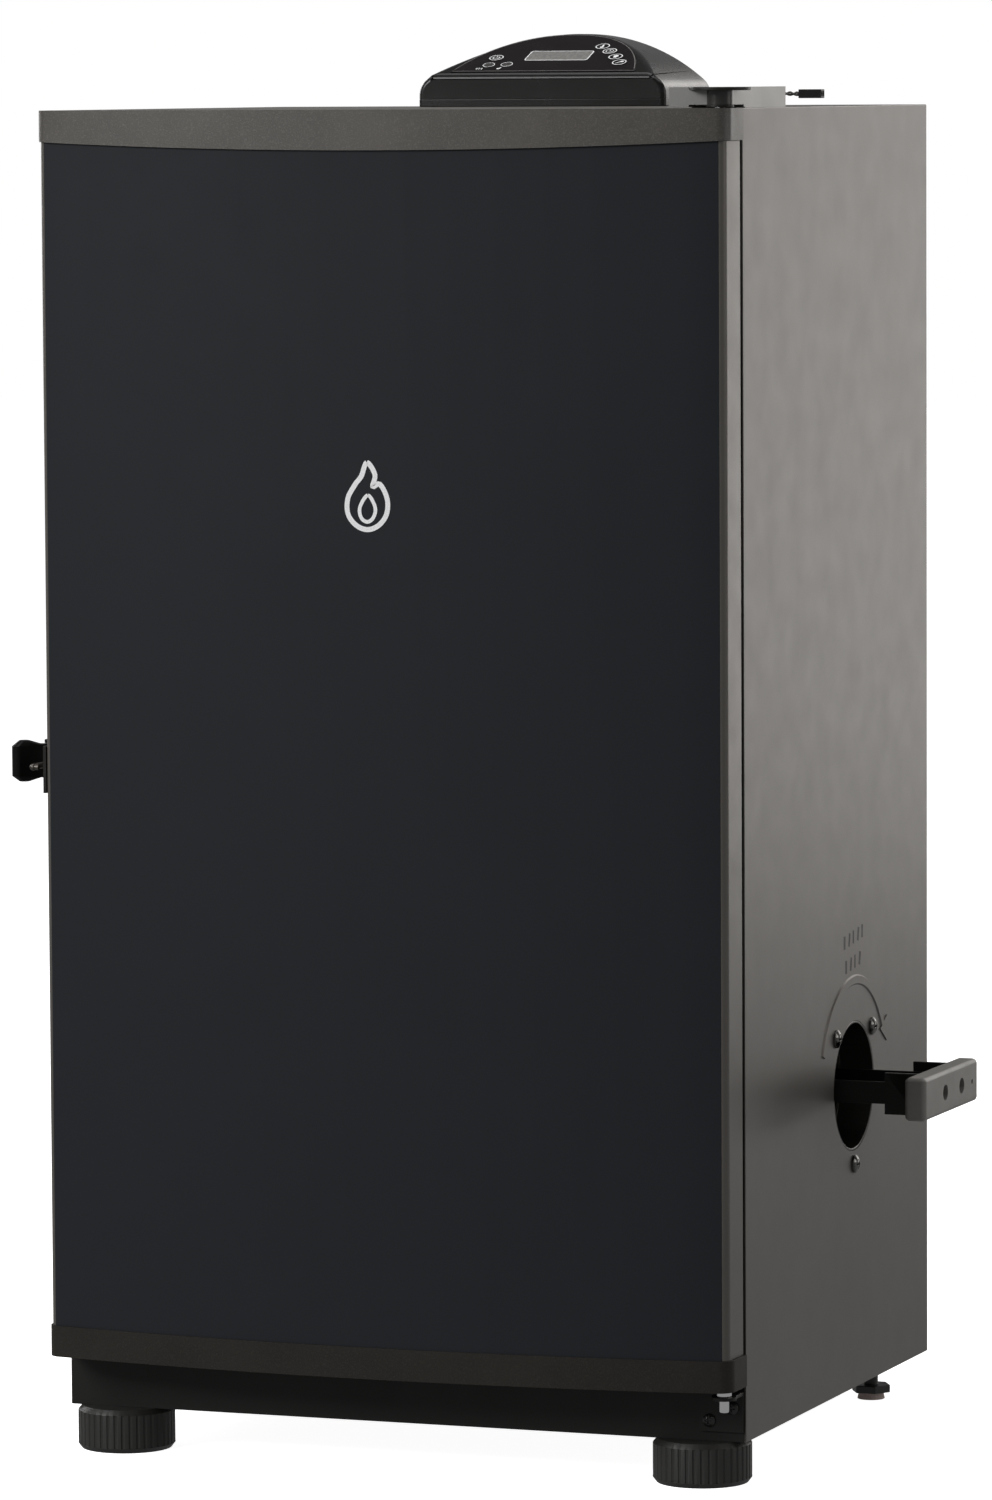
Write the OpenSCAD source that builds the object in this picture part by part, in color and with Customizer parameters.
// Electric cabinet smoker: an insulated cabinet on four feet, with a bowed front
// door, a top controller, a side chip loader and a rear grease tray.
// Millimetres, +Z up. The cabinet's front faces -Y. The origin is on the floor, under
// the middle of the outline that the smoker covers with its handles and tray in place.

/* [Cabinet] */
// Outside width of the insulated cabinet
cabinet_width = 428; // [410:1:450]
// Depth of the cabinet without its door
cabinet_depth = 353; // [345:1:370]
// Height of the cabinet from the bottom of its skirt to its top
cabinet_height = 775; // [760:1:800]
// Thickness of an insulated wall
wall = 25; // [23:0.5:26]
// Thickness of the sheet steel
sheet = 1.2; // [1:0.1:1.4]
// Height of the feet below the skirt
foot_height = 26; // [24:0.5:30]
// Diameter of a front foot
foot_diameter = 59; // [50:1:64]

/* [Door] */
// Gap between the cabinet's face and the back of the door
door_gap = 2.4; // [2.3:0.1:3]
// Distance from the cabinet's face to the front of the door's caps in the middle
door_front = 50; // [46:1:54]
// How far the middle of the door stands in front of its two sides
door_bow = 18; // [14:1:20]
// Height of the skirt that shows below the door
skirt_height = 33.8; // [32:0.2:36]
// Height of the end caps at the sides of the door
cap_height = 18.5; // [17:0.5:20]
// How much deeper the top cap is in the middle
cap_sag = 5; // [3:0.5:6]

/* [Hinges] */
// Distance of the hinge pins from the cabinet's right side
hinge_inset = 7; // [7:0.1:7.4]
// Distance of the hinge pins in front of the cabinet's face
hinge_front = 19; // [19:0.5:20]
// Diameter of the hinge pins
hinge_pin_d = 6; // [5.8:0.1:6.2]

/* [Controller] */
// Width of the controller
controller_width = 161; // [158:1:164]
// Depth of the controller
controller_depth = 88; // [86:1:90]
// Height of the controller above the cabinet's top
controller_height = 44.5; // [44:0.5:46]
// Slope of the key panel
panel_tilt = 20.5; // [19.5:0.5:21]
// Distance from the cabinet's face to the controller's front
controller_front = 247; // [240:1:255]

/* [Chip loader] */
// Diameter of the hole in the right side
loader_hole_d = 79; // [78:0.5:82]
// Distance of the hole's centre from the cabinet's face
loader_y = 205; // [200:1:210]
// Height of the hole's centre above the bottom of the skirt
loader_up = 184.5; // [182:0.5:188]
// Distance from the cabinet's side to the outside of the grip, as it stands part way out
grip_out = 62; // [60:0.5:64]
// Length of the grip
grip_length = 107; // [100:1:110]
// Height of the grip
grip_height = 26; // [25:0.5:28]

/* [Latch] */
// Height of the latch above the bottom of the skirt
latch_up = 386; // [360:1:410]
// Distance from the cabinet's left side to the end of the latch lever
latch_out = 39; // [38:0.5:41]

/* [Chamber] */
// Height of the chamber's floor above the bottom of the skirt
floor_up = 56; // [54:1:58]
// Height of the lowest cooking rack's rail above the chamber's floor
first_rail_up = 263; // [255:1:266]
// Distance between one rack's rail and the next
rail_pitch = 104; // [98:1:105]
// Number of cross wires in a rack
rack_wires = 17; // [13:1:21]

/* [Grease tray] */
// How far the grease tray stands out behind the cabinet
grease_tray_out = 117; // [112:1:120]
// Width of the grease tray between its rails
grease_tray_width = 170; // [150:1:190]

/* [Hidden] */

$fn = 48;
bow_fn = 360;
sag_fn = 720;
tiny = 0.01;

// Cabinet
half_w = cabinet_width / 2;
skirt_z = foot_height;
top_z = skirt_z + cabinet_height;
floor_z = skirt_z + floor_up;
ceiling_z = top_z - wall;
liner_half = half_w - wall;
liner_back = cabinet_depth - wall;
liner_sheet = 1;
inner_half = liner_half - liner_sheet;
inner_back = liner_back - liner_sheet;
inner_floor = floor_z + liner_sheet;
base_gap = 1.2;

// Door
door_bottom = skirt_z + skirt_height;
door_half = half_w - 0.5;
bow_r = (half_w * half_w + door_bow * door_bow) / (2 * door_bow);
bow_y = bow_r - door_front;
skin_inset = 1.5;
cap_wall = 2.4;
cap_corner = 10;
cap_half = half_w + 1.5;
door_corner = 5.5;
lower_cap_top = door_bottom + cap_height;
upper_cap_bottom = top_z - cap_height;
upper_cap_low = upper_cap_bottom - cap_sag;
sag_r = (half_w * half_w + cap_sag * cap_sag) / (2 * cap_sag);
panel_half = 210;
trim_gap = door_gap + 0.6;
pan_depth = 5;
gasket_in = liner_half + 1;
gasket_out = gasket_in + 12;

// Hinges
hinge_x = half_w - hinge_inset;
hinge_y = -hinge_front;
pin_r = hinge_pin_d / 2;
bush_r = 5;
barrel_r = 7.6;
bracket_h = 12;

// Loader
loader_z = skirt_z + loader_up;
loader_hole_r = loader_hole_d / 2;
sleeve_in_r = loader_hole_r - 1.5;
sleeve_end = half_w - 54;
tray_half = 27;
tray_rise = 6.75;
grip_x = half_w + grip_out;
grip_thick = 13.5;
leg_x = half_w + 29;
tray_in = 53;
screw_ring = 47.6;
rib_x = half_w - 24;
rib_in_r = 34.8;

// Latch
latch_z = skirt_z + latch_up;
latch_x = -half_w - 15;
latch_y = 24;

// Controller
controller_half = controller_width / 2;
controller_back = controller_front + controller_depth;
base_h = 4.8;
dome_r = 117;
dome_z = top_z + controller_height - dome_r;
dome_corner = 5;
housing_wall = 2.2;
cable_x = -40;
cable_y = controller_front + 50;
cable_r = 8;
panel_y = controller_front + 3;
panel_z = top_z + controller_height - 23.5;
overlay_half = 63.8;
overlay_top = 64.7;
overlay_drop = 40;
overlay_power = 2.2;
overlay_t = 0.6;
button_r = 4.8;
button_gap = 0.3;
button_rise = 0.9;
flange_r = 5.45;
board_w = -6;

// Lead, as points from its grommet to its connector
lead_d = 3;
lead_sides = 8;
lead_x = 130;
lead_y = 290;
lead_points = [
    [0, 0, -9], [0, 0, -5], [0, 0, 0], [0.3, 0, 2], [1.2, 0, 3.8],
    [2.8, 0, 5.2], [5, 0, 6.2], [8, 0, 6.9], [11, 0, 7.2], [14, 0, 7.2],
    [17, 0, 7.1], [20, 0, 7], [23, 0, 7]
];
connector_length = 14.5;

// Chamber
rail_r = 2.5;
rail_x = inner_half - 7.7;
post_x = inner_half - 3;
rack_half = rail_x - 1.4;
rack_front = 20;
rack_back = 318;
rack_rod = 3;
drip_rail_up = 172;

// Vent
vent_y = 270;
vent_z = top_z - 61;
vent_r = 27;

// Grease tray
tray_back = cabinet_depth + grease_tray_out;
tray_w = grease_tray_width / 2;
rail_z = skirt_z + 36;
drain_z = floor_z + 10;

// Feet
foot_x = half_w - 31;
foot_y = 12;
rear_foot_x = half_w - 26;
rear_foot_y = cabinet_depth - 34;
stem_r = 4.3;

// Middle of the outline on the floor
centre_x = (grip_x - (half_w + latch_out)) / 2;
centre_y = (tray_back - door_front) / 2;

// Colours
paint = [0.27, 0.26, 0.25];
black = [0.06, 0.06, 0.06];
navy = [0.13, 0.14, 0.16];
cap_grey = [0.2, 0.195, 0.19];
steel = [0.75, 0.75, 0.74];
chrome = [0.85, 0.85, 0.86];
wool = [0.8, 0.75, 0.6];

module placed() {
    translate([-centre_x, -centre_y, 0]) children();
}

module box(low, high) {
    translate(low) cube([high[0] - low[0], high[1] - low[1], high[2] - low[2]]);
}

// A cylinder along X or Y, from one coordinate to the other
module along_x(x0, x1, y, z, r) {
    translate([x0, y, z]) rotate([0, 90, 0]) cylinder(h = x1 - x0, r = r);
}

module along_y(x, y0, y1, z, r) {
    translate([x, y0, z]) rotate([-90, 0, 0]) cylinder(h = y1 - y0, r = r);
}

module along_z(x, y, z0, z1, r) {
    translate([x, y, z0]) cylinder(h = z1 - z0, r = r);
}

// A rod between two points that differ in x and y only
module rod(a, b, r) {
    dx = b[0] - a[0];
    dy = b[1] - a[1];
    translate(a) rotate([0, 0, atan2(dy, dx)]) rotate([0, 90, 0])
        cylinder(h = sqrt(dx * dx + dy * dy), r = r);
}

// A pan-head screw with a cross recess; the head sits on z = 0 and points up
module pan_screw(head_r, shank_r, shank) {
    head_h = head_r * 0.62;
    difference() {
        union() {
            intersection() {
                cylinder(h = head_h, r = head_r);
                translate([0, 0, head_h - head_r * 1.5]) sphere(r = head_r * 1.5);
            }
            translate([0, 0, -shank]) cylinder(h = shank + tiny, r = shank_r);
        }
        for (turn = [0, 90]) {
            rotate([0, 0, turn])
                translate([-head_r * 0.55, -head_r * 0.11, head_h * 0.45])
                cube([head_r * 1.1, head_r * 0.22, head_h]);
        }
    }
}

// Flat outline of the door, bowed at the front and with rounded front corners
module bow_outline(half, inset, back, corner) {
    arc_r = bow_r - inset;
    corner_x = half - corner;
    corner_y = bow_y - sqrt(arc_r * arc_r - corner_x * corner_x) + corner;
    intersection() {
        translate([0, bow_y]) circle(r = arc_r, $fn = bow_fn);
        union() {
            translate([-corner_x, -door_front]) square([2 * corner_x, door_front + back]);
            translate([-half, corner_y]) square([2 * half, back - corner_y]);
            for (side = [-1, 1]) {
                translate([side * corner_x, corner_y]) circle(r = corner);
            }
        }
    }
}

module bow_slab(half, inset, back, corner, z0, z1) {
    translate([0, 0, z0]) linear_extrude(height = z1 - z0)
        bow_outline(half, inset, back, corner);
}

// Everything above the curved lower edge of the top cap
module above_sag(low) {
    translate([0, -door_front - 5, low + sag_r]) rotate([-90, 0, 0])
        cylinder(h = door_front + 10, r = sag_r, $fn = sag_fn);
}

// Half-width of the key panel's overlay at a distance up its slope
function overlay_side(v) = overlay_half
    * pow(1 - pow((v + overlay_drop) / (overlay_top + overlay_drop), overlay_power), 1 / overlay_power);

// Distances up the slope that lie closer together towards the overlay's top
function overlay_up(share) = overlay_top * (1 - pow(1 - share, 2));

function overlay_points(steps) = concat(
    [for (i = [0:steps]) [-overlay_side(overlay_up(i / steps)), overlay_up(i / steps)]],
    [for (i = [steps - 1:-1:0]) [overlay_side(overlay_up(i / steps)), overlay_up(i / steps)]]
);

module on_panel() {
    translate([0, panel_y, panel_z]) rotate([panel_tilt, 0, 0]) children();
}

// Key positions on the panel: distance across and distance up the slope
power_at = [-38, 23.5];
temperature_at = [25.3, 42.5];
time_at = [32.7, 34.1];
light_at = [39.8, 24.2];
probe_at = [45.4, 14.4];
key_at = [power_at, temperature_at, time_at, light_at, probe_at];
lamp_at = [[-39, 11.7], [-27.5, 12.5]];
lamp_r = 3.3;
screen_low = [-18, 19.7];
screen_size = [40, 15];

// ---------------------------------------------------------------- cabinet

// Raised arrow over the loader's hole, drawn as on a dial round the hole's centre
module embossed_arrow() {
    inner = 61.1;
    outer = 67.6;
    rise = 0.9;
    shoulder = 1;
    start = 28.5;
    sweep = 129.5;
    head_turn = 29.5;
    barb_in = 58.3;
    barb_out = 73.4;
    tip = 67;
    tip_turn = 17.6;
    translate([half_w - 0.1, loader_y, loader_z]) rotate([90, 0, 90]) {
        rotate([0, 0, start]) rotate_extrude(angle = sweep)
            polygon([[inner, 0], [inner + shoulder, rise], [outer - shoulder, rise], [outer, 0]]);
        linear_extrude(height = rise) polygon([
            barb_in * [cos(head_turn), sin(head_turn)],
            tip * [cos(tip_turn), sin(tip_turn)],
            barb_out * [cos(head_turn), sin(head_turn)]
        ]);
    }
}

module loader_screw_places() {
    for (turn = [43, 137, 270]) {
        translate([0, loader_y + screw_ring * cos(turn), loader_z + screw_ring * sin(turn)])
            children();
    }
}

module outer_shell() {
    color(paint) placed() difference() {
        union() {
            difference() {
                box([-half_w, 0, skirt_z], [half_w, cabinet_depth, top_z]);
                box([-half_w + sheet, -1, skirt_z - 1],
                    [half_w - sheet, cabinet_depth + 1, top_z - sheet]);
            }
            embossed_arrow();
        }
        along_x(half_w - 5, half_w + 5, loader_y, loader_z, loader_hole_r);
        loader_screw_places() along_x(half_w - 5, half_w + 5, 0, 0, 2.05);
        along_x(-half_w - 5, -half_w + 5, vent_y, vent_z, vent_r + 1.2);
        for (dz = [-8, 8]) {
            along_x(-half_w - 5, -half_w + 5, 9, latch_z + dz, 2.05);
        }
        for (y = [24, 58]) along_z(half_w - 22, y, top_z - 5, top_z + 5, 2.05);
        along_z(lead_x, lead_y, top_z - 5, top_z + 5, 3.5);
        along_z(cable_x, cable_y, top_z - 5, top_z + 5, cable_r);
    }
}

module rear_screw_places() {
    for (x = [-half_w + 10, half_w - 10]) {
        for (z = [skirt_z + 90, skirt_z + 390, top_z - 20]) translate([x, 0, z]) children();
    }
}

module cover_screw_places() {
    for (x = [52, 168]) for (z = [skirt_z + 70, skirt_z + 118]) translate([x, 0, z]) children();
}

module rear_panel() {
    color(paint) placed() difference() {
        box([-half_w + sheet, cabinet_depth - sheet, skirt_z],
            [half_w - sheet, cabinet_depth, top_z - sheet]);
        along_y(0, cabinet_depth - 5, cabinet_depth + 5, drain_z, 8.3);
        box([60, cabinet_depth - 5, skirt_z + 78], [160, cabinet_depth + 5, skirt_z + 110]);
        along_y(150, cabinet_depth - 5, cabinet_depth + 5, skirt_z + 30, 8);
        rear_screw_places() along_y(0, cabinet_depth - 5, cabinet_depth + 5, 0, 2.05);
        cover_screw_places() along_y(0, cabinet_depth - 5, cabinet_depth + 5, 0, 2.05);
    }
}

module base_panel() {
    color(black) placed() difference() {
        union() {
            box([-half_w + sheet, sheet, skirt_z + base_gap],
                [half_w - sheet, cabinet_depth - sheet, skirt_z + base_gap + sheet]);
            for (side = [-1, 1]) {
                along_z(side * rear_foot_x, rear_foot_y, skirt_z, skirt_z + 20, 8);
            }
        }
        for (side = [-1, 1]) {
            along_z(side * rear_foot_x, rear_foot_y, skirt_z - 1, skirt_z + 21, stem_r + 0.08);
        }
    }
}

module front_frame() {
    frame_half = half_w - sheet;
    color(black) placed() difference() {
        union() {
            box([-frame_half, 0, skirt_z], [frame_half, sheet, top_z - sheet]);
            box([-frame_half, 0, skirt_z], [frame_half, 14, skirt_z + base_gap]);
        }
        box([-liner_half, -1, floor_z], [liner_half, sheet + 1, ceiling_z]);
        for (place = bottom_screws) along_y(place[0], -1, 5, place[1], 2.05);
    }
}

module inner_liner() {
    color(steel) placed() difference() {
        union() {
            difference() {
                box([-liner_half, sheet, floor_z], [liner_half, liner_back, ceiling_z]);
                box([-inner_half, 0, inner_floor], [inner_half, inner_back, ceiling_z - liner_sheet]);
            }
            along_y(0, inner_back, cabinet_depth + 14, drain_z, 8);
        }
        along_y(0, inner_back - 5, cabinet_depth + 20, drain_z, 6.8);
        along_x(inner_half - 5, liner_half + 5, loader_y, loader_z, loader_hole_r);
        along_x(-liner_half - 5, -inner_half + 5, vent_y, vent_z, vent_r + 1.2);
        for (x = [70, 150]) along_y(x, inner_back - 5, liner_back + 5, element_z, 4.5);
        along_y(probe_x, inner_back - 5, liner_back + 5, probe_z, 3);
    }
}

module insulation_pads() {
    color(wool) placed() {
        // Right, with a hole for the loader's sleeve
        difference() {
            box([liner_half, sheet, skirt_z + 4], [half_w - sheet, cabinet_depth - sheet, top_z - sheet]);
            along_x(half_w - wall - 5, half_w + 5, loader_y, loader_z, loader_hole_r);
            along_x(half_w - 4, half_w + 5, loader_y, loader_z, 55);
            along_z(rear_foot_x, rear_foot_y, skirt_z, skirt_z + 48, 9);
        }
        // Left, with a hole for the vent
        difference() {
            box([-half_w + sheet, sheet, skirt_z + 4], [-liner_half, cabinet_depth - sheet, top_z - sheet]);
            along_x(-half_w - 5, -half_w + wall + 5, vent_y, vent_z, vent_r + 1.2);
            along_z(-rear_foot_x, rear_foot_y, skirt_z, skirt_z + 48, 9);
            along_x(-half_w, -half_w + 8, 9, latch_z - 8, 4);
            along_x(-half_w, -half_w + 8, 9, latch_z + 8, 4);
        }
        // Top
        difference() {
            box([-liner_half, sheet, ceiling_z], [liner_half, cabinet_depth - sheet, top_z - sheet]);
            along_z(lead_x, lead_y, top_z - 12, top_z + 5, 6);
            along_z(cable_x, cable_y, top_z - 12, top_z + 5, cable_r);
        }
        // Rear
        difference() {
            box([-liner_half, liner_back, floor_z], [liner_half, cabinet_depth - sheet, ceiling_z]);
            along_y(0, liner_back - 5, cabinet_depth, drain_z, 8.5);
            for (x = [70, 150]) along_y(x, liner_back - 5, cabinet_depth, element_z, 5);
            along_y(probe_x, liner_back - 5, cabinet_depth, probe_z, 3.2);
            cover_screw_places() along_y(0, cabinet_depth - 9, cabinet_depth, 0, 3);
        }
        // Floor
        box([-liner_half, sheet, skirt_z + 44], [liner_half, cabinet_depth - sheet, floor_z]);
    }
}

// Heights of the support rails: the drip pan's, then the four racks'
function rail_height(level) =
    level == 0 ? inner_floor + drip_rail_up : floor_z + first_rail_up + (level - 1) * rail_pitch;

module rack_supports() {
    color(chrome) placed() for (side = [-1, 1]) {
        for (y = [50, 290]) {
            along_z(side * post_x, y, inner_floor, rail_height(4) + 20, rail_r);
        }
        for (level = [0:4]) {
            along_y(side * rail_x, rack_front - 6, inner_back - 1, rail_height(level), rail_r);
            for (y = [50, 290]) {
                rod([side * rail_x, y, rail_height(level)],
                    [side * post_x, y, rail_height(level)], 2);
            }
        }
    }
}

module smoking_rack(level) {
    z = rail_height(level) + rail_r + rack_rod + 0.1;
    wire = 1.6;
    pitch = (rack_back - rack_front) / (rack_wires + 1);
    color(chrome) placed() {
        for (y = [rack_front, rack_back]) {
            along_x(-rack_half, rack_half, y, z, rack_rod);
            for (side = [-1, 1]) translate([side * rack_half, y, z]) sphere(r = rack_rod + 0.1);
        }
        for (side = [-1, 1]) along_y(side * rack_half, rack_front, rack_back, z, rack_rod - 0.1);
        for (i = [1:rack_wires]) along_x(-rack_half, rack_half, rack_front + i * pitch, z + 1, wire);
        for (side = [-1, 1]) along_y(side * rack_half * 0.36, rack_front, rack_back, z - 1.2, 2);
    }
}

module smoking_rack_1() { smoking_rack(1); }
module smoking_rack_2() { smoking_rack(2); }
module smoking_rack_3() { smoking_rack(3); }
module smoking_rack_4() { smoking_rack(4); }

bowl_low = [-150, 60];
bowl_high = [-24, 264];
bowl_depth = 58;

module drip_pan() {
    z = rail_height(0) + rail_r + 0.1;
    color(steel) placed() difference() {
        box([-rail_x - 1, rack_front, z], [rail_x + 1, rack_back, z + 12]);
        box([-rail_x, rack_front + 1, z + 1], [rail_x, rack_back - 1, z + 13]);
        box([bowl_low[0], bowl_low[1], z - 1], [bowl_high[0], bowl_high[1], z + 5]);
        box([40, rack_back - 24, z - 1], [150, rack_back - 14, z + 5]);
    }
}

module water_bowl() {
    z = rail_height(0) + rail_r + 1.1;
    color(steel) placed() difference() {
        union() {
            box([bowl_low[0] - 6, bowl_low[1] - 6, z], [bowl_high[0] + 6, bowl_high[1] + 6, z + 1.2]);
            box([bowl_low[0] + 0.5, bowl_low[1] + 0.5, z - bowl_depth],
                [bowl_high[0] - 0.5, bowl_high[1] - 0.5, z + 1.2]);
        }
        box([bowl_low[0] + 1.7, bowl_low[1] + 1.7, z - bowl_depth + 1.2],
            [bowl_high[0] - 1.7, bowl_high[1] - 1.7, z + 5]);
    }
}

element_z = floor_z + 34;
element_r = 4;
probe_x = -120;
probe_z = floor_z + 330;

module heating_element() {
    bend = 40;
    bend_y = 140;
    color([0.3, 0.3, 0.3]) placed() {
        for (x = [70, 150]) {
            along_y(x, bend_y, inner_back - 3, element_z, element_r);
            along_y(x, inner_back - 3.5, cabinet_depth + 3, element_z, 3);
        }
        translate([110, bend_y, element_z]) rotate([0, 0, 180]) rotate_extrude(angle = 180)
            translate([bend, 0]) circle(r = element_r);
        box([58, inner_back - 4, element_z - 12], [162, inner_back, element_z + 12]);
    }
}

module chip_housing() {
    low = element_z + 9;
    high = low + 46;
    left = 52;
    right = inner_half;
    front = 146;
    back = 262;
    color(steel) placed() {
        box([left, front, low], [right, front + 1.2, high]);
        box([left, back - 1.2, low], [right, back, high]);
        box([left, front, low], [right, front + 14, low + 1.2]);
        box([left, back - 14, low], [right, back, low + 1.2]);
        difference() {
            box([left, front, low], [left + 1.2, back, high]);
            box([left - 1, front + 20, low + 10], [left + 3, back - 20, high + 1]);
        }
    }
}

module chip_pan() {
    low = element_z + 10.2;
    color([0.45, 0.44, 0.43]) placed() difference() {
        box([58, 150, low], [180, 258, low + 32]);
        box([59, 151, low + 1], [179, 257, low + 33]);
    }
}

module chamber_sensors() {
    color(chrome) placed() {
        along_y(probe_x, inner_back - 60, cabinet_depth - 6, probe_z, 2.5);
        along_y(-60, inner_back - 6, inner_back, element_z + 40, 8);
    }
}

module loader_sleeve() {
    color(black) placed() difference() {
        union() {
            along_x(sleeve_end, half_w - 0.1, loader_y, loader_z, loader_hole_r - 0.3);
            along_x(half_w - 3, half_w - sheet, loader_y, loader_z, 54);
        }
        along_x(sleeve_end - 1, rib_x, loader_y, loader_z, sleeve_in_r);
        along_x(rib_x - 1, rib_x + 4, loader_y, loader_z, rib_in_r);
        along_x(rib_x + 3, half_w + 1, loader_y, loader_z, sleeve_in_r);
        loader_screw_places() along_x(half_w - 5, half_w + 5, 0, 0, 2.05);
    }
}

bottom_screws = [[half_w - 22, skirt_z + 12.5], [half_w - 7.7, skirt_z + 20.3]];
panel_screw = 3.6;

module cabinet_screws() {
    color(chrome) placed() {
        loader_screw_places() translate([half_w, 0, 0]) rotate([0, 90, 0])
            pan_screw(5.5, 2, 3.2);
        for (y = [24, 58]) {
            translate([half_w - 22, y, top_z + 1.8]) pan_screw(3.8, 2, 4);
        }
        for (place = bottom_screws) {
            translate([place[0], -2, place[1]]) rotate([90, 0, 0]) pan_screw(3.9, 2, 3.2);
        }
        for (dz = [-8, 8]) {
            translate([-half_w - 2, 9, latch_z + dz]) rotate([0, -90, 0])
                pan_screw(panel_screw, 2, 4);
        }
        rear_screw_places() translate([0, cabinet_depth, 0]) rotate([-90, 0, 0])
            pan_screw(panel_screw, 2, 1.2);
        cover_screw_places() translate([0, cabinet_depth + 1.2, 0]) rotate([-90, 0, 0])
            pan_screw(panel_screw, 2, 4);
    }
}

// ---------------------------------------------------------------- latch

module latch_base() {
    color(black) placed() difference() {
        union() {
            box([-half_w - 2, 2, latch_z - 15], [-half_w, 42, latch_z + 15]);
            for (z = [latch_z - 12.5, latch_z + 10.5]) {
                box([-half_w - 15, 14, z], [-half_w - 1, 34, z + 2]);
                along_z(latch_x, latch_y, z, z + 2, 8);
            }
            along_z(latch_x, latch_y, latch_z - 13.6, latch_z + 13.6, 2);
            for (end = [-14, 12.5]) {
                along_z(latch_x, latch_y, latch_z + end, latch_z + end + 1.5, 3.4);
            }
        }
        for (dz = [-8, 8]) {
            along_x(-half_w - 5, -half_w + 5, 9, latch_z + dz, 2.05);
        }
    }
}

module latch_lever() {
    tip_x = -half_w - latch_out + 4;
    tip_y = 14;
    color(black) placed() difference() {
        union() {
            along_z(latch_x, latch_y, latch_z - 10.2, latch_z + 10.2, 6.5);
            hull() {
                translate([latch_x - 2, latch_y - 2, latch_z - 10]) cylinder(h = 20, r = 4, $fn = 32);
                translate([tip_x + 8, tip_y + 4, latch_z - 10]) cylinder(h = 20, r = 4, $fn = 32);
            }
            hull() {
                translate([tip_x + 8, tip_y + 4, latch_z - 10]) cylinder(h = 20, r = 4, $fn = 32);
                translate([tip_x, tip_y - 3, latch_z - 9]) cylinder(h = 18, r = 4, $fn = 32);
                translate([tip_x + 2.4, tip_y, latch_z - 12.4]) cylinder(h = 24.8, r = 3, $fn = 32);
                translate([tip_x, tip_y + 7, latch_z - 9]) cylinder(h = 18, r = 4, $fn = 32);
            }
        }
        along_z(latch_x, latch_y, latch_z - 15, latch_z + 15, 2.06);
    }
}

module latch_hook() {
    near = [latch_x + 4.5, latch_y - 3.7, latch_z];
    bend = [-half_w - 9.6, -25, latch_z];
    color(chrome) placed() {
        rod(near, bend, 1.9);
        translate(bend) sphere(r = 2.1);
        rod(bend, [-half_w - 6, -25, latch_z], 1.7);
        translate([latch_x + 4.35, latch_y - 9, latch_z]) rotate([90, 0, 0])
            cylinder(h = 3.4, r = 4, $fn = 6);
    }
}

// ---------------------------------------------------------------- hinges

module top_hinge_bracket() {
    foot = 1.8;
    back = 80;
    left = hinge_x - 30;
    right = half_w - 0.5;
    low = top_z + 1.9;
    high = top_z + bracket_h;
    color(paint) placed() difference() {
        union() {
            // Plate that lies on the cabinet's top
            box([left + 4, 6, top_z], [right, back, top_z + foot]);
            // Side flange over the cabinet, then the strip towards the barrel
            box([right - 2, 17, top_z], [right, back, high]);
            box([right - 2, 6, top_z], [right, 18, high - 1.9]);
            box([right - 2, hinge_y, low], [right, 7, high - 1.9]);
            // Front flange and its end block
            box([left + 12, hinge_y - 3, low], [hinge_x, hinge_y - 1, high - 1.9]);
            box([left, hinge_y - 3, top_z + 0.6], [left + 12, hinge_y + 9, high]);
            // Web that ties the barrel and the end block back to the plate
            box([left, hinge_y + 2, low], [right, 8, low + foot]);
            box([left + 4, 4, top_z + 0.6], [right, 8, low + foot]);
            along_z(hinge_x, hinge_y, low, high - 1.9, barrel_r);
        }
        along_z(hinge_x, hinge_y, top_z, high + 1, pin_r + 0.03);
        for (y = [24, 58]) along_z(half_w - 22, y, top_z - 1, top_z + 5, 2.05);
    }
}

module bottom_hinge_bracket() {
    low = skirt_z + 6;
    high = skirt_z + 30;
    left = half_w - 28;
    right = half_w - 1.2;
    color(black) placed() difference() {
        union() {
            box([left, -2, low], [right, 0, high]);
            box([hinge_x - 8, hinge_y, high - 2], [right, 0, high]);
            along_z(hinge_x, hinge_y, high - 2, high, 7.3);
        }
        along_z(hinge_x, hinge_y, low, high + 1, pin_r + 0.03);
        for (place = bottom_screws) along_y(place[0], -5, 5, place[1], 2.05);
    }
}

module hinge_pins() {
    shelf = skirt_z + 30;
    color(chrome) placed() {
        // Top pin with its round head and its lower washer
        along_z(hinge_x, hinge_y, top_z - 15, top_z + bracket_h - 1, pin_r);
        along_z(hinge_x, hinge_y, top_z + bracket_h - 1.9, top_z + bracket_h, 17.5);
        difference() {
            along_z(hinge_x, hinge_y, top_z + 0.35, top_z + 1.9, 8);
            along_z(hinge_x, hinge_y, top_z, top_z + 3, pin_r + 0.05);
        }
        // Bottom pin with its rounded end and its collar
        along_z(hinge_x, hinge_y, skirt_z + 22, door_bottom + 13, pin_r);
        along_z(hinge_x, hinge_y, shelf, door_bottom - 0.35, 4.6);
        translate([hinge_x, hinge_y, skirt_z + 22]) intersection() {
            sphere(r = pin_r);
            translate([0, 0, -1.5]) cylinder(h = 4, r = pin_r);
        }
    }
}

module hinge_bushings() {
    color([0.85, 0.84, 0.8]) placed() {
        difference() {
            along_z(hinge_x, hinge_y, top_z - 16.5, top_z, bush_r);
            along_z(hinge_x, hinge_y, top_z - 17, top_z + 1, pin_r + 0.06);
        }
        difference() {
            along_z(hinge_x, hinge_y, door_bottom, door_bottom + 16, bush_r);
            along_z(hinge_x, hinge_y, door_bottom - 1, door_bottom + 17, pin_r + 0.06);
        }
    }
}

// ---------------------------------------------------------------- feet

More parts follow.
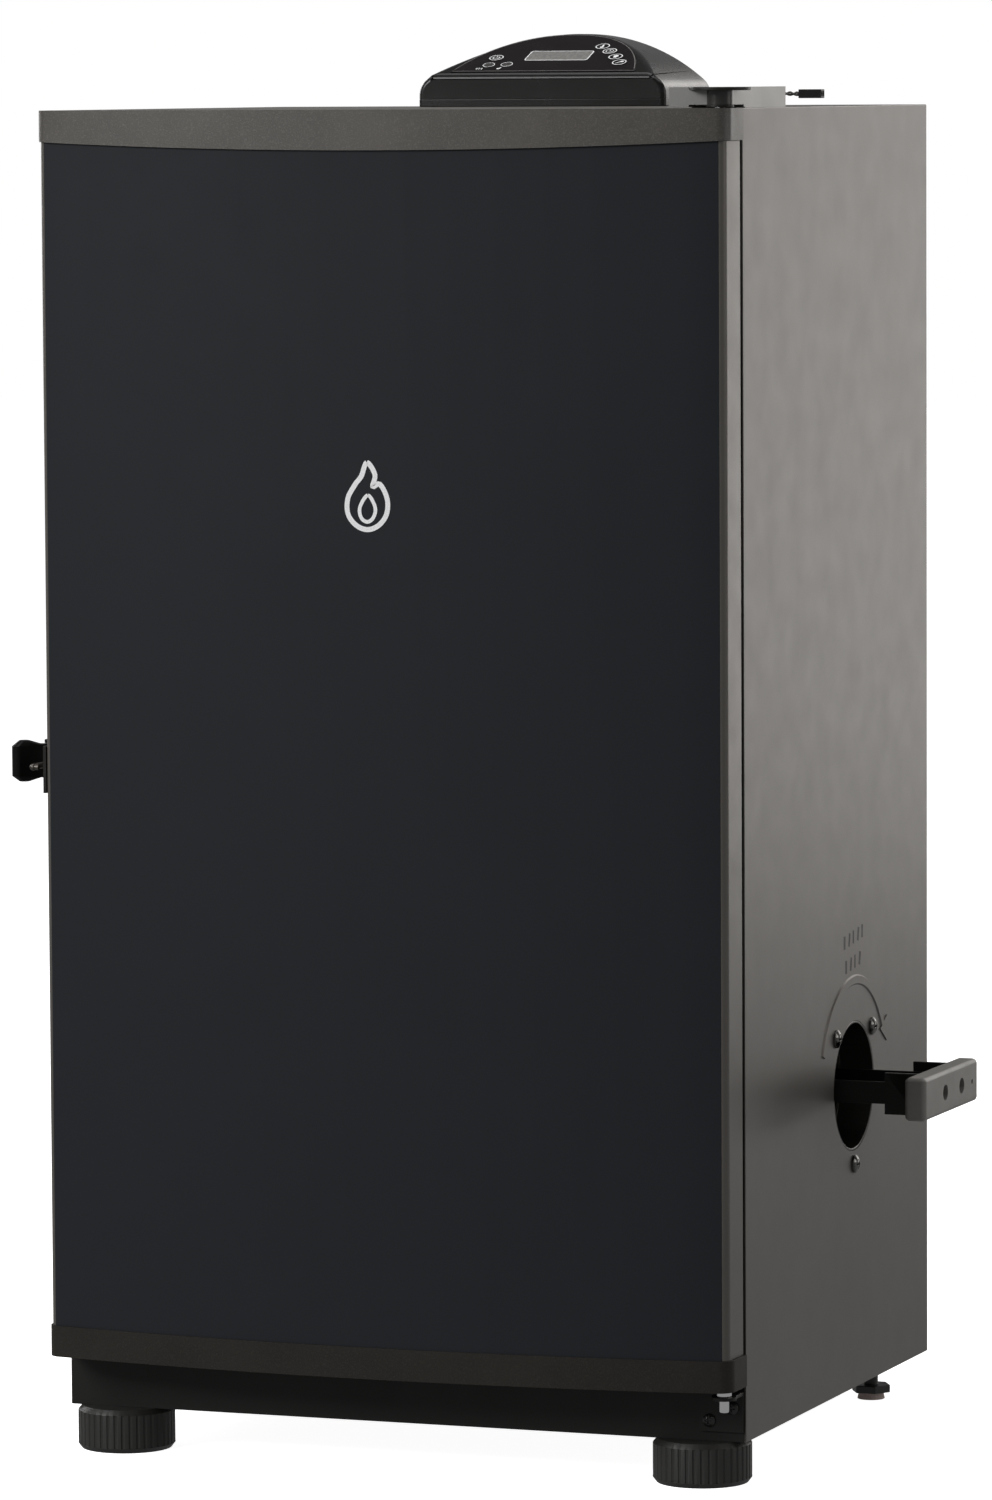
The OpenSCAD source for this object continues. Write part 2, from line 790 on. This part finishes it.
module front_feet() {
    r = foot_diameter / 2;
    rim = 3;
    ribs = 40;
    groove_r = 1;
    color(black) placed() for (side = [-1, 1]) {
        translate([side * foot_x, foot_y, 0]) {
            cylinder(h = rim, r1 = r - 2.5, r2 = r - 0.2, $fn = 96);
            translate([0, 0, rim]) linear_extrude(foot_height - 2 * rim) difference() {
                circle(r = r - 0.4, $fn = 96);
                for (i = [0:ribs - 1]) {
                    rotate(i * 360 / ribs) translate([r, 0]) circle(r = groove_r, $fn = 16);
                }
            }
            translate([0, 0, foot_height - rim])
                cylinder(h = rim, r1 = r - 0.4, r2 = r - 3, $fn = 96);
        }
    }
}

// A levelling foot: a pad, a six-sided flange to turn it by, and a stem
module rear_foot(side) {
    color([0.5, 0.46, 0.44]) placed() translate([side * rear_foot_x, rear_foot_y, 0]) {
        cylinder(h = 4.4, r1 = 8.6, r2 = 7.6);
        translate([0, 0, 4.3]) cylinder(h = 4.7, r = 12.4, $fn = 6);
        translate([0, 0, 8.9]) cylinder(h = skirt_z + 9, r = stem_r);
    }
}

module rear_foot_left() { rear_foot(-1); }
module rear_foot_right() { rear_foot(1); }

// ---------------------------------------------------------------- controller

module controller_base() {
    r = 3;
    color(black) placed() translate([0, 0, top_z]) linear_extrude(height = base_h) difference() {
        union() {
            translate([-controller_half + r, controller_front])
                square([controller_width - 2 * r, controller_depth]);
            translate([-controller_half, controller_front + r])
                square([controller_width, controller_depth - 2 * r]);
            for (side = [-1, 1]) {
                for (y = [controller_front + r, controller_back - r]) {
                    translate([side * (controller_half - r), y]) circle(r = r);
                }
            }
        }
        translate([cable_x, cable_y]) circle(r = cable_r);
    }
}

// Cross-section of the controller, smaller by inset; the arc's centre is at 0, 0
module dome_outline(inset) {
    r = dome_r - inset;
    half = controller_half - inset;
    corner = dome_corner - inset;
    corner_x = half - corner;
    corner_up = sqrt((r - corner) * (r - corner) - corner_x * corner_x);
    low = top_z + base_h - dome_z - inset;
    low_x = corner_x * low / corner_up;
    intersection() {
        circle(r = r, $fn = 240);
        union() {
            polygon([[-low_x, low], [low_x, low], [2 * corner_x, 2 * corner_up],
                     [-2 * corner_x, 2 * corner_up]]);
            translate([-half, low]) square([2 * half, corner_up - low]);
            for (side = [-1, 1]) translate([side * corner_x, corner_up]) circle(r = corner);
        }
    }
}

// The controller's solid form, smaller by inset on every side but its bottom
module controller_form(inset) {
    reach = 200;
    difference() {
        translate([0, controller_back - inset, dome_z]) rotate([90, 0, 0])
            linear_extrude(height = controller_depth - 2 * inset) dome_outline(inset);
        on_panel() translate([-reach / 2, -reach / 2, -inset]) cube(reach);
    }
}

// Holes through the key panel for the keys, the lamps and the display
module panel_holes(key_r) {
    for (place = key_at) {
        translate([place[0], place[1], -10]) cylinder(h = 20, r = key_r);
    }
    for (place = lamp_at) {
        translate([place[0], place[1], -10]) cylinder(h = 20, r = lamp_r);
    }
    translate([screen_low[0], screen_low[1], -10]) cube([screen_size[0], screen_size[1], 20]);
}

module controller_housing() {
    color(black) placed() difference() {
        controller_form(0);
        controller_form(housing_wall);
        on_panel() panel_holes(button_r + 0.5);
    }
}

module controller_overlay() {
    color([0.03, 0.03, 0.03]) placed() on_panel() difference() {
        linear_extrude(height = overlay_t) polygon(overlay_points(14));
        panel_holes(button_r + button_gap);
    }
}

module display_windows() {
    fit = 0.05;
    high = overlay_t - 0.1;
    color([0.6, 0.65, 0.6]) placed() on_panel() {
        for (place = lamp_at) {
            translate([place[0], place[1], -housing_wall])
                cylinder(h = housing_wall + high, r = lamp_r - fit);
        }
        translate([screen_low[0] + fit, screen_low[1] + fit, -housing_wall])
            cube([screen_size[0] - 2 * fit, screen_size[1] - 2 * fit, housing_wall + high]);
    }
}

// The board hangs from four posts under the key panel and carries a switch for each key
module circuit_board() {
    thick = 1.6;
    switch_high = 1.8;
    color([0.1, 0.35, 0.2]) placed() on_panel() {
        translate([0, 0, board_w - thick]) linear_extrude(height = thick)
            polygon([[-50, 4], [50, 4], [50, 22], [34, 50], [-34, 50], [-50, 22]]);
        for (place = key_at) {
            translate([place[0] - 3, place[1] - 3, board_w]) cube([6, 6, switch_high]);
        }
        for (place = [[-46, 6.5], [34, 7.5], [-28, 46], [10, 46]]) {
            translate([place[0], place[1], board_w]) cylinder(h = -board_w - housing_wall, r = 2.4);
        }
        // Display module
        translate([screen_low[0] - 2, screen_low[1] - 2, board_w])
            cube([screen_size[0] + 4, screen_size[1] + 3.3, -board_w - housing_wall - 0.05]);
    }
}

module button(place) {
    flange_top = -housing_wall - 0.1;
    color([0.05, 0.05, 0.05]) placed() on_panel() translate([place[0], place[1], flange_top - 1]) {
        cylinder(h = 1, r = flange_r);
        cylinder(h = 1 - flange_top + button_rise, r = button_r);
    }
}

module button_power() { button(power_at); }
module button_temperature() { button(temperature_at); }
module button_time() { button(time_at); }
module button_light() { button(light_at); }
module button_probe() { button(probe_at); }

// ---------------------------------------------------------------- lead

module lead_grommet() {
    color(black) placed() translate([lead_x, lead_y, top_z]) difference() {
        union() {
            cylinder(h = 2, r = 5);
            translate([0, 0, -sheet - 1.5]) cylinder(h = sheet + 2, r = 3.4);
            translate([0, 0, -sheet - 1.5]) cylinder(h = 1.4, r = 5);
        }
        translate([0, 0, -5]) cylinder(h = 10, r = lead_d / 2 + 0.1);
    }
}

// Direction of the lead at one of its points, in the x-z plane
function lead_lean(i) = let (
    a = lead_points[max(i - 1, 0)],
    b = lead_points[min(i + 1, len(lead_points) - 1)]
) atan2(b[0] - a[0], b[2] - a[2]);

function lead_ring(i) = [for (k = [0:lead_sides - 1]) let (
    turn = 360 * k / lead_sides,
    across = lead_d / 2 * cos(turn),
    lean = lead_lean(i)
) [
    lead_points[i][0] + across * cos(lean),
    lead_points[i][1] + lead_d / 2 * sin(turn),
    lead_points[i][2] - across * sin(lean)
]];

module controller_lead() {
    rings = len(lead_points);
    points = [for (i = [0:rings - 1]) each lead_ring(i)];
    sides = [for (i = [0:rings - 2]) for (k = [0:lead_sides - 1]) let (
        a = i * lead_sides + k,
        b = i * lead_sides + (k + 1) % lead_sides
    ) [a, a + lead_sides, b + lead_sides, b]];
    first = [for (k = [0:lead_sides - 1]) k];
    last = [for (k = [lead_sides - 1:-1:0]) (rings - 1) * lead_sides + k];
    color([0.15, 0.13, 0.12]) placed() translate([lead_x, lead_y, top_z])
        polyhedron(points = points, faces = concat(sides, [first, last]));
}

module lead_connector() {
    end = lead_points[len(lead_points) - 1];
    color(black) placed() translate([lead_x + end[0], lead_y, top_z + end[2]]) difference() {
        translate([0, -3.5, -2.7]) cube([connector_length, 7, 5.4]);
        for (y = [-1.6, 1.6]) {
            translate([connector_length - 6, y - 1, -1.4]) cube([7, 2, 2.8]);
        }
    }
}

// ---------------------------------------------------------------- vent

module vent_holes(r) {
    for (turn = [0, 90, 180, 270]) {
        rotate([0, 0, turn]) translate([16, 0, -60]) cylinder(h = 120, r = r);
    }
}

module damper_seat() {
    color(black) placed() translate([-half_w, vent_y, vent_z]) rotate([0, -90, 0]) {
        difference() {
            union() {
                cylinder(h = 2, r = 35);
                translate([0, 0, -wall + liner_sheet]) cylinder(h = wall, r = vent_r + 1);
            }
            translate([0, 0, -wall]) cylinder(h = wall - 1, r = vent_r);
            vent_holes(6);
        }
        translate([0, 0, 1.9]) cylinder(h = 3.9, r = 3);
        translate([0, 0, 5.7]) cylinder(h = 1.5, r = 5.5);
    }
}

module damper_disc() {
    color(paint) placed() translate([-half_w, vent_y, vent_z]) rotate([0, -90, 0]) difference() {
        union() {
            translate([0, 0, 2.3]) cylinder(h = 1.5, r = 31);
            translate([0, 0, 2.3]) cylinder(h = 3, r = 5);
            rotate([0, 0, 45]) translate([25, -6, 2.3]) cube([4, 12, 9]);
        }
        cylinder(h = 20, r = 3.06);
        vent_holes(6);
    }
}

// ---------------------------------------------------------------- rear

module rear_access_cover() {
    low = [44, skirt_z + 62];
    high = [176, skirt_z + 126];
    y = cabinet_depth;
    color(paint) placed() difference() {
        union() {
            box([low[0], y, low[1]], [high[0], y + 1.2, high[1]]);
            box([low[0] + 15, y, low[1] + 14], [high[0] - 15, y + 9, high[1] - 14]);
        }
        box([low[0] + 16.2, y - 1, low[1] + 15.2], [high[0] - 16.2, y + 7.8, high[1] - 15.2]);
        cover_screw_places() along_y(0, y - 1, y + 5, 0, 2.05);
    }
}

module cord_gland() {
    x = 150;
    z = skirt_z + 30;
    y = cabinet_depth;
    color(black) placed() difference() {
        union() {
            along_y(x, y - 6, y + 1, z, 7.8);
            along_y(x, y, y + 4, z, 12);
            along_y(x, y + 3, y + 14, z, 9);
            along_y(x, y - 6, y - 2, z, 10);
        }
        along_y(x, y - 10, y + 20, z, 4);
    }
}

module grease_tray_rails() {
    y = cabinet_depth;
    color(paint) placed() for (side = [0, 1]) mirror([side, 0, 0]) {
        box([tray_w + 7, y, rail_z - 14], [tray_w + 8.2, y + 96, rail_z + 6]);
        box([tray_w + 0.6, y, rail_z - 1.2], [tray_w + 8.2, y + 96, rail_z]);
        box([tray_w + 7, y, rail_z - 14], [tray_w + 20, y + 1.2, rail_z + 6]);
    }
}

module grease_tray() {
    front = cabinet_depth + 2;
    back = tray_back - 8;
    low = rail_z - 30;
    high = rail_z + 1.5;
    t = 1.2;
    color(steel) placed() difference() {
        union() {
            box([-tray_w, front, low], [tray_w, back, high]);
            box([-tray_w - 5.5, front, high - t], [tray_w + 5.5, back, high]);
            box([-tray_w, back - 1, high - t], [tray_w, tray_back, high]);
            box([-tray_w, tray_back - t, high - 9], [tray_w, tray_back, high]);
        }
        box([-tray_w + t, front + t, low + t], [tray_w - t, back - t, high + 1]);
    }
}

// ---------------------------------------------------------------- chip loader

module loader_seal_disc() {
    color(steel) placed() difference() {
        along_x(sleeve_end + 6, sleeve_end + 10, loader_y, loader_z, sleeve_in_r - 0.3);
        box([sleeve_end, loader_y - tray_half - 0.3, loader_z - tray_rise - 0.3],
            [sleeve_end + 20, loader_y + tray_half + 0.3, loader_z + tray_rise + 0.3]);
    }
}

module loader_tray() {
    t = 1.2;
    color([0.32, 0.32, 0.31]) placed() difference() {
        box([tray_in, loader_y - tray_half, loader_z - tray_rise],
            [grip_x - grip_thick, loader_y + tray_half, loader_z + tray_rise]);
        box([tray_in + t, loader_y - tray_half + t, loader_z - tray_rise + t],
            [grip_x - grip_thick - t, loader_y + tray_half - t, loader_z + tray_rise + 1]);
    }
}

grip_screw_at = [-13, 20];

module loader_grip() {
    r = 3;
    half = grip_height / 2;
    long = grip_length / 2;
    color([0.24, 0.235, 0.23]) placed() translate([0, loader_y, loader_z]) difference() {
        union() {
            hull() {
                for (x = [grip_x - grip_thick + r, grip_x - r]) {
                    for (y = [-long + r, long - r]) {
                        for (z = [-half + r, half - r]) translate([x, y, z]) sphere(r = r, $fn = 20);
                    }
                }
            }
            for (side = [-1, 1]) {
                y0 = side > 0 ? tray_half : -tray_half - 3;
                box([leg_x, y0, -half + 0.5], [grip_x - grip_thick + 2, y0 + 3, half - 0.5]);
            }
        }
        for (y = grip_screw_at) {
            along_x(grip_x - 5, grip_x + 1, y, 0, 4.9);
            along_x(grip_x - grip_thick - 2, grip_x, y, 0, 2.05);
        }
        along_x(grip_x - 4, grip_x + 1, 41, 0, 1.5);
        along_x(grip_x - grip_thick - 1, grip_x - grip_thick + 1, 0, 0, 1);
    }
}

module grip_screws() {
    color(chrome) placed() for (y = grip_screw_at) {
        translate([grip_x - 5, loader_y + y, loader_z]) rotate([0, 90, 0])
            pan_screw(3.6, 2, grip_thick - 5);
    }
}

// ---------------------------------------------------------------- door

// The door's outer skin between its two caps
module door_skin() {
    low = lower_cap_top;
    difference() {
        bow_slab(door_half, skin_inset, -trim_gap, door_corner, low, upper_cap_bottom);
        bow_slab(door_half - sheet, skin_inset + sheet, 0, door_corner - sheet, low - 1, top_z);
    }
}

module door_front_panel() {
    color(navy) placed() intersection() {
        door_skin();
        below_cap();
        box([-panel_half, -door_front - 5, 0], [panel_half, -door_gap - 10, top_z]);
    }
}

// Everything below the curved lower edge of the top cap
module below_cap() {
    difference() {
        box([-half_w, -door_front - 2, 0], [half_w, 0, top_z]);
        above_sag(upper_cap_low);
    }
}

module door_side_trims() {
    color(paint) placed() intersection() {
        difference() {
            door_skin();
            box([-panel_half, -door_front - 5, 0], [panel_half, 0, top_z]);
        }
        below_cap();
    }
}

module hinge_boss(z0, z1) {
    box([hinge_x - 7, hinge_y - 7, z0], [half_w - 2, hinge_y + 9, z1]);
}

module door_top_cap() {
    color(cap_grey) placed() difference() {
        intersection() {
            union() {
                difference() {
                    bow_slab(cap_half, 0, -door_gap, cap_corner, upper_cap_low - 1, top_z);
                    bow_slab(cap_half - cap_wall, cap_wall, 5, cap_corner - cap_wall,
                        upper_cap_low - 2, top_z - cap_wall);
                }
                hinge_boss(upper_cap_bottom + 1, top_z);
            }
            above_sag(upper_cap_low);
            box([-cap_half, -door_front - 1, upper_cap_low - 1], [cap_half, 0, top_z]);
        }
        along_z(hinge_x, hinge_y, upper_cap_low, top_z + 1, bush_r + 0.02);
    }
}

module door_bottom_cap() {
    color(cap_grey) placed() difference() {
        union() {
            difference() {
                bow_slab(cap_half, 0, -door_gap, cap_corner, door_bottom, lower_cap_top);
                bow_slab(cap_half - cap_wall, cap_wall, 5, cap_corner - cap_wall,
                    door_bottom + cap_wall, lower_cap_top + 2);
            }
            hinge_boss(door_bottom, lower_cap_top - 1);
        }
        along_z(hinge_x, hinge_y, door_bottom - 1, lower_cap_top + 1, bush_r + 0.02);
    }
}

module door_inner_panel() {
    t = 0.8;
    half = door_half - 3;
    pan_half = liner_half - 6;
    pan_low = floor_z + 8;
    pan_high = ceiling_z - 8;
    low = door_bottom + cap_wall + 0.2;
    high = top_z - cap_wall - 0.2;
    color(steel) placed() difference() {
        union() {
            box([-half, -door_gap - t, low], [half, -door_gap, high]);
            box([-pan_half, -door_gap - t, pan_low], [pan_half, pan_depth - door_gap, pan_high]);
        }
        box([-pan_half + t, -door_gap - t - 1, pan_low + t],
            [pan_half - t, pan_depth - door_gap - t, pan_high - t]);
        hinge_boss(0, lower_cap_top);
        hinge_boss(upper_cap_low, top_z);
    }
}

module door_insulation() {
    half = door_half - 4;
    color(wool) placed()
        bow_slab(half, skin_inset + sheet + 0.6, -door_gap - 1.2, 3, lower_cap_top + 1, upper_cap_low - 1);
}

module door_gasket() {
    back = -door_gap;
    color(black) placed() difference() {
        box([-gasket_out, back, floor_z - 12], [gasket_out, -0.4, ceiling_z + 12]);
        box([-gasket_in, back - 1, floor_z - 1], [gasket_in, 1, ceiling_z + 1]);
    }
}

module door_strike() {
    outside = -door_half;
    color(black) placed() {
        box([outside - 2, -29, latch_z - 15], [outside, -11, latch_z + 13]);
        box([outside - 5.4, -20, latch_z - 8], [outside - 2, -17.8, latch_z + 8]);
        for (z = [latch_z - 11, latch_z + 10]) {
            along_x(outside - 3, outside - 1.9, -15, z, 2.2);
        }
    }
}

outer_shell();
rear_panel();
base_panel();
front_frame();
inner_liner();
insulation_pads();
rack_supports();
drip_pan();
water_bowl();
chip_housing();
chip_pan();
heating_element();
chamber_sensors();
loader_sleeve();
cabinet_screws();
latch_base();
top_hinge_bracket();
bottom_hinge_bracket();
hinge_pins();
front_feet();
controller_base();
controller_housing();
controller_overlay();
display_windows();
circuit_board();
damper_seat();
grease_tray_rails();
rear_access_cover();
cord_gland();
lead_grommet();
controller_lead();
lead_connector();
door_front_panel();
door_side_trims();
door_top_cap();
door_bottom_cap();
door_inner_panel();
door_insulation();
door_gasket();
door_strike();
hinge_bushings();
latch_lever();
latch_hook();
smoking_rack_1();
smoking_rack_2();
smoking_rack_3();
smoking_rack_4();
loader_seal_disc();
loader_tray();
loader_grip();
grip_screws();
damper_disc();
button_power();
button_temperature();
button_time();
button_light();
button_probe();
grease_tray();
rear_foot_left();
rear_foot_right();
